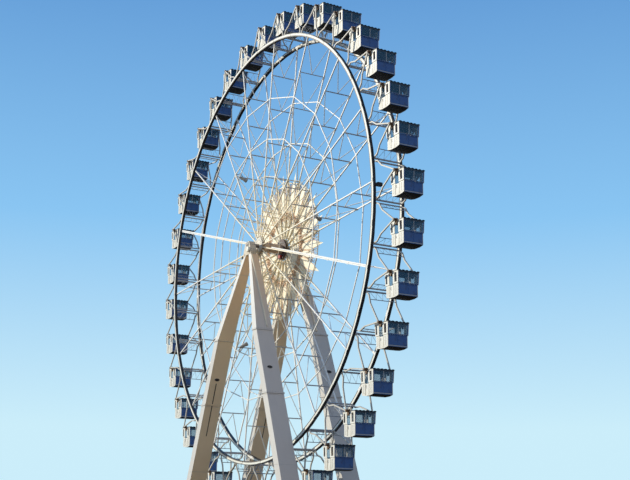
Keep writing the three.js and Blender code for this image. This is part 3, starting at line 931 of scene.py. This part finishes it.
work = Work(brace_paint)
for k in range(SPOKES):
    angle = FIRST_ANGLE + k * PITCH
    levels = [0.985, *BARS]
    for outer, inner in zip(levels, levels[1:]):
        vertex = on_wheel(angle, inner * RIM_RADIUS + 0.03, 0)
        for side_y in (-1, 1):
            end = on_wheel(angle, outer * RIM_RADIUS - 0.03, side_y * (CHORD_Y - 0.02))
            work.tube([vertex, end], BRACE, BRACE_SIDES)
    work.tube([on_wheel(angle, INNER_END, y) for y in (-CHORD_Y, CHORD_Y)], BRACE, BRACE_SIDES)
    for side_y in (-1, 1):
        end = on_wheel(angle, BARS[-1] * RIM_RADIUS, side_y * CHORD_Y)
        work.tube([on_wheel(angle, INNER_END, 0), end], BRACE, BRACE_SIDES)
    for side_y, share in INNER_TIES:
        tie = [on_wheel(turn, share * RIM_RADIUS, side_y * CHORD_Y) for turn in (angle, angle + PITCH)]
        work.tube(tie, BRACE, BRACE_SIDES)
    for share in (*TIE_STATIONS, *BARS):
        for side_y in (-1, 1):
            y = side_y * (CHORD_Y + CHORD_FACE)
            outline = [on_wheel(angle, share * RIM_RADIUS + a, y, b) for a, b in CHORD_PLATE]
            work.slab(outline, (0, side_y * PLATE_SHEET, 0), wheel_paint)
            for a in (-0.045, 0.045):
                spot = on_wheel(angle, share * RIM_RADIUS + a, y + side_y * 0.007)
                work.bolt(spot, (0, side_y, 0), 0.01)
work.piece("spoke_bracing", "wheel")


# Cabin forks
# Every fork's arms meet at a bearing that carries a cabin. A thin tube joins the front and back arms at
# their bend, with lacing down to the tube between the rims.
CABINS = 36
PIVOT_RADIUS = 11.52
ARM_Y = 0.615
TUBE_PLACE = (10.54, 0.31)
TUBE_THICK = 0.017
BASE_PLACE = (10.16, 0.062)
LACE = 0.007
LACE_BAYS = 4
BEARING_FACE = 0.583
BEARING_CAP = ((0, 0.045), (0.003, 0.055), (0.062, 0.055), (0.068, 0.042), (0.074, 0.02))
CAP_BOLT_CIRCLE = 0.042


@finish
def brown_cast():
    wear = blotches(9, 5, 0.4, 0.7)
    return {
        "Base Color": mixed(wear, (0.13, 0.06, 0.025), (0.26, 0.16, 0.07)),
        "Roughness": 0.5 + wear * 0.2,
        "height": (wear, 0.001),
    }


# Dark grey for the fork tubes and lacing: painted shade.
@finish
def painted_shade_lace():
    wear = blotches(6, 4, 0.4, 0.7)
    return {"Base Color": mixed(wear, (0.42, 0.44, 0.48), (0.30, 0.31, 0.33)), "Roughness": 0.45}


work = Work(painted_shade_lace)
for k in range(CABINS):
    station = FIRST_ANGLE + (k + 0.5) * 360 / CABINS
    for way in (-1, 1):
        tube, base = (
            [on_wheel(station, radius, y, way * offset) for y in (-ARM_Y, ARM_Y)]
            for radius, offset in (TUBE_PLACE, BASE_PLACE)
        )
        work.tube(tube, TUBE_THICK, 6)
        for i in range(LACE_BAYS):
            low = base[0].lerp(base[1], (i + 0.5) / LACE_BAYS)
            for end in (i, i + 1):
                work.tube([low, tube[0].lerp(tube[1], end / LACE_BAYS)], LACE, 4)
    for side_y in (-1, 1):
        pivot = on_wheel(FIRST_ANGLE + k * 360 / CABINS, PIVOT_RADIUS, side_y * BEARING_FACE)
        work.turned(pivot, (0, side_y, 0), BEARING_CAP, 12, brown_cast)
        for t in ring_turns(6):
            spot = Vector((CAP_BOLT_CIRCLE * math.sin(t), side_y * 0.064, CAP_BOLT_CIRCLE * math.cos(t)))
            work.bolt(pivot + spot, (0, side_y, 0), 0.006)
work.piece("fork_lacing", "wheel")


# Cabins
# Each cabin is a steel tub with a glazed upper part that widens towards a ribbed roof. The ends are cream,
# with a door between two narrow windows, and the long sides are navy with two panes. Inside are two benches.
ROOF_X, ROOF_Y = 0.48, 0.515
EAVES_X, EAVES_Y = 0.462, 0.492
EAVES = -0.04
BELT_X, BELT_Y = 0.436, 0.48
BELT = -0.51
TUB_X, TUB_Y = 0.409, 0.455
CHAMFER_TOP = -0.975
BOTTOM_X = 0.174
FLOOR = -1.02
WINDOW_TOP = -0.085
SILL = -0.45
SIDE_SILL = -0.48
DOOR_SILL = -0.55
END_WINDOWS = ((-0.40, -0.29), (-0.16, 0.09), (0.20, 0.35))
DOOR = END_WINDOWS[1]
SKIN = 0.018
SHEET = 0.02
GLASS_HALF = 0.003
PANE_HALF = 0.45


@finish
def cabin_cream():
    grime = blotches(5, 6, 0.45, 0.75, stretched(1, 1, 0.3))
    low = ramp(maths("MULTIPLY_ADD")(along("Z"), -1.0, -0.6), (0.0, 0), (0.5, 1))
    return {
        "Base Color": mixed(grime * 0.25 + low * 0.2, (0.91, 0.89, 0.81), (0.64, 0.58, 0.45)),
        "Roughness": 0.34 + grime * 0.2,
        "height": (noise(50), 0.0008),
    }


@finish
def cabin_navy():
    mottle = blotches(9, 6, 0.42, 0.68)
    blots = blotches(5, 2, 0.56, 0.66)
    chalk = blotches(3, 5, 0.5, 0.78)
    blue = mixed(mottle * 0.5, (0.018, 0.11, 0.37), (0.05, 0.17, 0.45))
    blue = mixed(chalk * 0.3, blue, (0.17, 0.24, 0.34))
    return {
        "Base Color": mixed(blots * 0.45, blue, (0.022, 0.045, 0.13)),
        "Roughness": 0.33 + mottle * 0.2,
        "height": (mottle, 0.001),
    }


@finish
def bench_blue():
    grain = noise(80, 3)
    blue = mixed(grain, (0.05, 0.07, 0.10), (0.09, 0.11, 0.15))
    return {"Base Color": blue, "Roughness": 0.6, "height": (grain, 0.001)}


def glazing(name, tone, cover, shine):
    """Glass with a few smears. cover is the share of what lies behind it that it hides."""

    def recipe():
        smear = 0.05 + blotches(3, 4, 0.4, 0.8) * 0.1
        return {"Base Color": (*tone, 1), "Roughness": smear, "Alpha": cover, "Specular IOR Level": shine}

    return finish(recipe, name)


cabin_rail = two_tone("cabin_rail", 12, (0.34, 0.41, 0.48), (0.46, 0.50, 0.55), 0.4)
# Nearly black, which paints in the shade under the cabins and on their ceilings. The rivets use it too.
cabin_black_and_shade = two_tone("cabin_black_and_shade", 5, (0.005, 0.010, 0.014), (0.014, 0.021, 0.026), 0.6, 5)
seam_brown = two_tone("seam_brown", 15, (0.27, 0.21, 0.12), (0.16, 0.12, 0.07), 0.6)
roof_blue = two_tone("roof_blue", 5, (0.014, 0.045, 0.085), (0.035, 0.075, 0.12), 0.5, 5)


def half_size(level):
    """Half the glazed part's size along X and along Y at a level."""
    share = (level - BELT) / (EAVES - BELT)
    return BELT_X + (EAVES_X - BELT_X) * share, BELT_Y + (EAVES_Y - BELT_Y) * share


def turned_round(side, places):
    """Places along an end wall. The back end's lie the other way round from the front end's."""
    return sorted(side * -x for x in places)


def wall_ring(wall, low, high, outer, inner, z):
    """A level section through a part of an end wall or a long side."""
    spots = ((low, outer), (high, outer), (high, inner), (low, inner))
    return [(a, b, z) if wall == "end" else (b, a, z) for a, b in spots]


def strip(wall, side, low, high, z0, z1, paint=None, skin=SKIN):
    """A strip of a wall between two levels. A place of None is the wall's own edge."""
    rings = []
    for z in (z0, z1):
        half_x, half_y = half_size(z)
        reach, face = (half_x, half_y) if wall == "end" else (half_y - SKIN, half_x)
        start = -reach if low is None else low
        stop = reach if high is None else high
        rings.append(wall_ring(wall, start, stop, side * face, side * (face - skin), z))
    work.loft(rings, paint)


def pane(wall, side, low, high, sill, paint):
    """A pane of glass in the middle of a wall's sheet."""
    rings = []
    for z in (WINDOW_TOP + 0.002, sill - 0.002):
        half_x, half_y = half_size(max(z, BELT))
        middle = (half_y if wall == "end" else half_x) - SKIN / 2
        faces = [side * (middle + out) for out in (-GLASS_HALF, GLASS_HALF)]
        rings.append(wall_ring(wall, low, high, *faces, z))
    glass.loft(rings, paint)


def rectangle(x0, x1, y0, y1, z):
    return [(x0, y0, z), (x1, y0, z), (x1, y1, z), (x0, y1, z)]


work = Work(cabin_cream)

# ribbed roof sheet, its eaves, and the ceiling with its bars
RIBS = 6
RIB_PROFILE = ((0.0, 0.0), (0.2, 0.0), (0.36, 0.024), (0.74, 0.024), (0.9, 0.0))
VALLEY = -0.012
ROOF_SHEET = 0.006
EAVES_TOP = -0.017
CEILING = -0.034
CEILING_SHEET = 0.015
profile = []
for i in range(RIBS):
    profile += [(ROOF_Y * (2 * (i + share) / RIBS - 1), VALLEY + rise) for share, rise in RIB_PROFILE]
profile.append((ROOF_Y, VALLEY))
profile += [(y, z - ROOF_SHEET) for y, z in reversed(profile)]
work.slab([(-ROOF_X, y, z) for y, z in profile], (2 * ROOF_X, 0, 0), roof_blue)
edge_x, edge_y = ROOF_X - 0.004, ROOF_Y - 0.003
inside_x, inside_y = EAVES_X - SKIN, EAVES_Y - SKIN
for x0, x1, y0, y1, paint in (
    (-edge_x, -inside_x, -EAVES_Y, EAVES_Y, roof_blue),
    (inside_x, edge_x, -EAVES_Y, EAVES_Y, roof_blue),
    (-edge_x, edge_x, -edge_y, -inside_y, cabin_cream),
    (-edge_x, edge_x, inside_y, edge_y, cabin_cream),
):
    under = [max(x0, -EAVES_X), min(x1, EAVES_X), max(y0, -EAVES_Y), min(y1, EAVES_Y)]
    work.loft([rectangle(*under, EAVES - 0.002), rectangle(x0, x1, y0, y1, EAVES_TOP)], paint)
# The ceiling and its bars are nearly black: painted shade.
work.slab(rectangle(-inside_x, inside_x, -inside_y, inside_y, CEILING), (0, 0, CEILING_SHEET), cabin_black_and_shade)
for y in (-0.25, 0.0, 0.25):
    work.bar((-inside_x, y, -0.045), (inside_x, y, -0.045), 0.022, 0.03, (0, 1, 0), cabin_black_and_shade)

# end walls, where the door's window reaches lower than the others, and glazed long sides
POST = 0.016
for side in (-1, 1):
    edges = [None, *turned_round(side, (x for window in END_WINDOWS for x in window)), None]
    for low, high in zip(edges[::2], edges[1::2]):
        strip("end", side, low, high, WINDOW_TOP, SILL)
    strip("end", side, None, None, EAVES, WINDOW_TOP)
    low, high = turned_round(side, DOOR)
    strip("end", side, None, low, SILL, BELT)
    strip("end", side, high, None, SILL, BELT)
    for window in END_WINDOWS:
        for x in turned_round(side, window):
            strip("end", side, x - 0.004, x + 0.004, WINDOW_TOP, SILL, seam_brown, SKIN * 0.7)
    strip("side", side, None, None, EAVES, WINDOW_TOP, roof_blue)
    strip("side", side, None, None, SIDE_SILL, BELT, cabin_navy)
    strip("side", side, None, None, SIDE_SILL + 0.008, SIDE_SILL - 0.012, cabin_rail, SKIN * 1.15)
    strip("side", side, None, 0.02 - PANE_HALF, WINDOW_TOP, SIDE_SILL, cabin_navy)
    strip("side", side, PANE_HALF - 0.02, None, WINDOW_TOP, SIDE_SILL, cabin_navy)
    strip("side", side, -POST, POST, WINDOW_TOP, SIDE_SILL, cabin_rail)

# tub: navy long sides with raised panels over a dark tray, and cream ends with pressed ribs and seams
core_y = TUB_Y - SHEET
TRAY_TOP = CHAMFER_TOP + 0.015
PANEL_TOP = BELT - 0.045
PANEL_FOOT = CHAMFER_TOP + 0.06
RIVET = ((0, 0.007), (0.008, 0.007), (0.01, 0.004))
# level, width and thickness of the bars along a long side
RAILS = (
    (BELT - 0.018, 0.016, 0.024, cabin_navy),
    (CHAMFER_TOP + 0.035, 0.016, 0.036, cabin_rail),
    (CHAMFER_TOP + 0.008, 0.012, 0.02, cabin_navy),
)
# place and width of an end's ribs, and place, width and top of its seams
RIBBING = ((-0.36, 0.012), (-0.24, 0.016), (-0.19, 0.012), (-0.06, 0.012), (0.045, 0.016), (0.17, 0.012))
RIBBING += ((0.22, 0.016), (0.31, 0.012), (0.37, 0.012))
SEAMS = ((-0.147, 0.03, -0.57), (0.115, 0.02, -0.57), (-0.29, 0.012, -0.56), (0.26, 0.012, -0.56))
GRIP_X = 0.075
GRIP_LEVELS = (-0.62, -0.72)
SEAT = ((0.385, -0.72), (0.19, -0.735), (0.175, -0.75), (0.175, -0.78), (0.19, -0.79), (0.385, -0.79))
BACK_REST = ((0.387, -0.52), (0.37, -0.515), (0.355, -0.53), (0.335, -0.70), (0.345, -0.73), (0.387, -0.73))
HANGER_TOP = ((0.075, -0.10), (0.075, 0.02), (0.045, 0.058))
HANGER_FOOT = ((-0.04, -0.135), (-0.03, -0.19))
HANGER_Y = 0.478
HANGER_SHEET = 0.057
BOSS = ((0, 0.052), (0.032, 0.052), (0.04, 0.04))
PIN_END = ((0, 0.024), (0.0287, 0.024))
tray = [(TUB_X - 0.002, TRAY_TOP), (TUB_X - 0.004, CHAMFER_TOP), (TUB_X - 0.016, CHAMFER_TOP - 0.012)]
tray += [(BOTTOM_X + 0.02, FLOOR + 0.004), (BOTTOM_X - 0.02, FLOOR)]
# The tray under the cabin is nearly black: painted shade.
work.slab([(x, -core_y, z) for x, z in mirrored(tray)], (0, 2 * core_y, 0), cabin_black_and_shade)
for side in (-1, 1):
    face = side * TUB_X
    wall = [(face, BELT), (face, TRAY_TOP), (face - side * SHEET, TRAY_TOP), (face - side * SHEET, BELT)]
    work.slab([(x, -core_y, z) for x, z in wall], (0, 2 * core_y, 0), cabin_navy)
    for low, high in ((-core_y + 0.012, -0.01), (0.01, core_y - 0.012)):
        panel = []
        for inset, lift in ((0.0, 0.0), (0.006, 0.005)):
            x, y0, y1 = face + side * lift, low + inset, high - inset
            z0, z1 = PANEL_TOP - inset, PANEL_FOOT + inset
            panel.append([(x, y0, z0), (x, y1, z0), (x, y1, z1), (x, y0, z1)])
        work.loft(panel, cabin_navy)
        for y in (low + 0.03, (low + high) / 2, high - 0.03):
            for z in (PANEL_TOP - 0.03, PANEL_FOOT + 0.03):
                work.turned((face, y, z), (side, 0, 0), RIVET, 6, cabin_black_and_shade)
    work.bar((face, 0, BELT - 0.03), (face, 0, CHAMFER_TOP + 0.03), 0.016, 0.01, (0, 1, 0), cabin_navy)
    for z, wide, tall, paint in RAILS:
        work.bar((face, -core_y, z), (face, core_y, z), wide, tall, (1, 0, 0), paint)

    low, high = turned_round(side, DOOR)
    outline = [(TUB_X, BELT), (TUB_X, CHAMFER_TOP + 0.01), (TUB_X - 0.012, CHAMFER_TOP - 0.006)]
    outline += [(BOTTOM_X + 0.02, FLOOR + 0.002), (BOTTOM_X - 0.02, FLOOR - 0.002)]
    outline = mirrored(outline) + [(low, BELT), (low, DOOR_SILL), (high, DOOR_SILL), (high, BELT)]
    work.slab([(x, side * core_y, z) for x, z in outline], (0, side * SHEET, 0))
    face = side * TUB_Y
    ledge = side * (TUB_Y + 0.006)
    for x0, x1 in ((-TUB_X, low), (high, TUB_X)):
        work.bar((x0, ledge, BELT + 0.004), (x1, ledge, BELT + 0.004), 0.036, 0.012, (0, 1, 0))
    for x, wide in RIBBING:
        x = side * -x
        foot = FLOOR + 0.02 if abs(x) < BOTTOM_X else CHAMFER_TOP
        head = DOOR_SILL - 0.02 if low < x < high else BELT - 0.04
        work.bar((x, face, head), (x, face, foot), wide, 0.008, (1, 0, 0))
    for x, wide, head in SEAMS:
        x = side * -x
        foot = FLOOR + 0.03 if abs(x) < BOTTOM_X else CHAMFER_TOP + 0.04
        work.bar((x, face, head), (x, face, foot), wide, 0.006, (1, 0, 0), seam_brown)
    grip, grip_y = side * GRIP_X, side * (TUB_Y + 0.02)
    work.tube([(grip, grip_y, z) for z in GRIP_LEVELS], 0.006, 6, galvanised_steel)
    for z in GRIP_LEVELS:
        work.bar((grip, face, z), (grip, grip_y, z), 0.01, 0.01, (1, 0, 0), galvanised_steel)

    # bench with a rounded seat and a back along each long side
    for outline in (SEAT, BACK_REST):
        bench = [(side * x, -core_y + 0.06, z) for x, z in outline]
        work.slab(bench, (0, 2 * core_y - 0.12, 0), bench_blue)

    # hanger in which the pin turns
    hanger = [(x, side * HANGER_Y, z) for x, z in mirrored(HANGER_TOP) + mirrored(HANGER_FOOT)]
    work.slab(hanger, (0, side * HANGER_SHEET, 0), brown_cast)
    work.turned((0, side * 0.53, 0), (0, side, 0), BOSS, 14, brown_cast)
    work.turned((0, side * 0.56, 0), (0, side, 0), PIN_END, 12, galvanised_steel)
    for x in (-0.055, 0.055):
        for z in (-0.08, 0.0):
            work.bolt((x, side * 0.534, z), (0, side, 0), 0.009)
shell_mesh = work.mesh("cabin_shell")

# clear glass in the doors, brown glass in the narrow windows, and blue panes in the long sides
clear_glass = glazing("cabin_glass", (0.12, 0.23, 0.34), 0.2, 0.6)
brown_glass = glazing("tinted_glass", (0.07, 0.045, 0.03), 0.55, 0.5)
blue_glass = glazing("pane_glass", (0.05, 0.25, 0.46), 0.27, 0.6)
glass = Work(clear_glass)
for side in (-1, 1):
    for window in END_WINDOWS:
        sill, paint = (DOOR_SILL, clear_glass) if window is DOOR else (SILL, brown_glass)
        pane("end", side, *turned_round(side, window), sill, paint)
    pane("side", side, -PANE_HALF, PANE_HALF, SIDE_SILL, blue_glass)
glass_mesh = glass.mesh("cabin_glass")

for k in range(CABINS):
    number = f"{k + 1:02d}"
    pivot = on_wheel(FIRST_ANGLE + k * 360 / CABINS, PIVOT_RADIUS, 0)
    for kind, mesh in (("shell", shell_mesh), ("glass", glass_mesh)):
        made = placed(f"cabin_{kind}_{number}", mesh)
        made.location = pivot
        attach(made, f"cabin_{number}")
        if kind == "shell":
            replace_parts(made, f"cabin_{number}")


# Studio
# A pale warm floor that throws no shadow, under a pale blue sky that turns grey towards the right. One warm
# lamp stands low at the front left.
FLOOR_HALF = 1500
FLOOR_BOTTOM = -0.2
FLOOR_DEPTH = 0.198
floor_plaster = two_tone("floor_plaster", 0.4, (0.60, 0.50, 0.39), (0.64, 0.55, 0.44), 0.8)
floor = Work(floor_plaster)
sheet = rectangle(-FLOOR_HALF, FLOOR_HALF, -FLOOR_HALF, FLOOR_HALF, FLOOR_BOTTOM)
floor.slab(sheet, (0, 0, FLOOR_DEPTH))
ground = placed("floor", floor.mesh("floor"))
ground.visible_diffuse = False
ground.visible_glossy = False
ground.visible_shadow = False

world = bpy.data.worlds.new("sky")
bpy.context.scene.world = world
world.use_nodes = True
Shade.tree = world.node_tree
Shade.tree.nodes.clear()
way = Shade.node("TexCoord", out="Generated")
rise = along("Z", way)
blue = mixed(ramp(rise, (0.08, 0), (0.263, 1)), (0.60, 0.85, 0.96), (0.254, 0.558, 0.888))
blue = mixed(ramp(rise, (0.263, 0), (0.50, 1)), blue, (0.095, 0.28, 0.63))
haze = ramp(along("X", way) * 0.5 + 0.5, (0.45, 0), (0.8, 1))
earth = mixed(ramp(rise * -1, (0.08, 0), (0.25, 1)), (0.36, 0.28, 0.20), (0.05, 0.045, 0.04))
above = ramp(rise * 0.5 + 0.5, (0.495, 0), (0.505, 1))
light = mixed(above, earth, mixed(haze, blue, (0.36, 0.42, 0.52)))
backdrop = Shade.node("Background", inputs={"Color": light, "Strength": 1.0})
Shade.node("OutputWorld", inputs={"Surface": backdrop})

lamp = placed("key_lamp", bpy.data.lights.new("key_lamp", "SUN"))
lamp.data.energy = 3.4
lamp.data.color = (1.0, 0.93, 0.78)
lamp.data.angle = math.radians(2)
lamp.rotation_euler = Vector((0.62, 0.72, -0.36)).to_track_quat("-Z", "Y").to_euler()
bpy.context.scene.view_settings.view_transform = "Standard"
